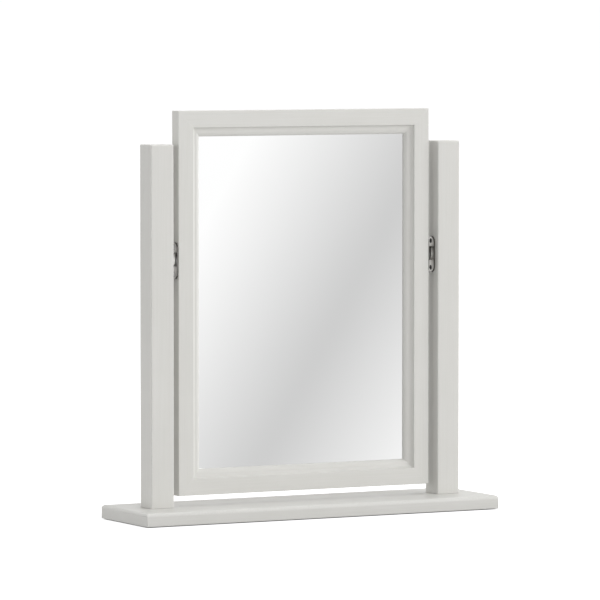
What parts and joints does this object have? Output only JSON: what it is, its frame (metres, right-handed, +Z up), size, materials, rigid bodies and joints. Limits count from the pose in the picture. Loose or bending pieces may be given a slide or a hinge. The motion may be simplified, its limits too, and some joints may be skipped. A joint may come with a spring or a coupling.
{
  "type": "swing vanity mirror",
  "caption": "Free-standing vanity mirror: a painted frame with a moulded inner edge tilts on friction pivots between square posts on a flat base board.",
  "frame": {"origin": "on the floor, under the middle of the base board", "axes": "+Z up, +X to the viewer's right, +Y from the mirror's face to its back"},
  "size_m": [0.5566, 0.144, 0.569],
  "materials": {
    "painted_wood": "satin paint, pale warm grey",
    "dowel_wood": "bare beech",
    "hardboard": "bare brown hardboard",
    "foam": "thin white foam sheet",
    "mirror": "silvered float glass",
    "nickel": "satin nickel plate",
    "spring_steel": "dark spring steel",
    "screw_steel": "zinc plated",
    "felt": "grey felt"
  },
  "bodies": {
    "stand": {"base_board": "painted_wood", "left_post": "painted_wood", "right_post": "painted_wood", "left_post_dowels": "dowel_wood", "right_post_dowels": "dowel_wood", "left_post_plate": "nickel", "right_post_plate": "nickel", "left_post_screw": "screw_steel", "right_post_screw": "screw_steel", "left_post_plate_screws": "screw_steel", "right_post_plate_screws": "screw_steel", "front_left_pad": "felt", "front_right_pad": "felt", "back_left_pad": "felt", "back_right_pad": "felt"},
    "mirror": {"left_stile": "painted_wood", "right_stile": "painted_wood", "top_rail": "painted_wood", "bottom_rail": "painted_wood", "bottom_left_dowel": "dowel_wood", "bottom_right_dowel": "dowel_wood", "top_left_dowel": "dowel_wood", "top_right_dowel": "dowel_wood", "mirror_glass": "mirror", "packing_sheet": "foam", "backing_board": "hardboard", "backing_side_screws": "screw_steel", "backing_end_screws": "screw_steel", "left_frame_plate": "nickel", "right_frame_plate": "nickel", "left_frame_plate_screws": "screw_steel", "right_frame_plate_screws": "screw_steel", "left_pivot_stud": "nickel", "right_pivot_stud": "nickel", "left_friction_washer": "spring_steel", "right_friction_washer": "spring_steel"}
  },
  "joints": [
    {"name": "mirror_tilt", "type": "hinge", "parent": "stand", "child": "mirror", "pos_m": [0, 0, 0.3615], "axis": [1, 0, 0], "range_deg": [-60, 60]}
  ]
}
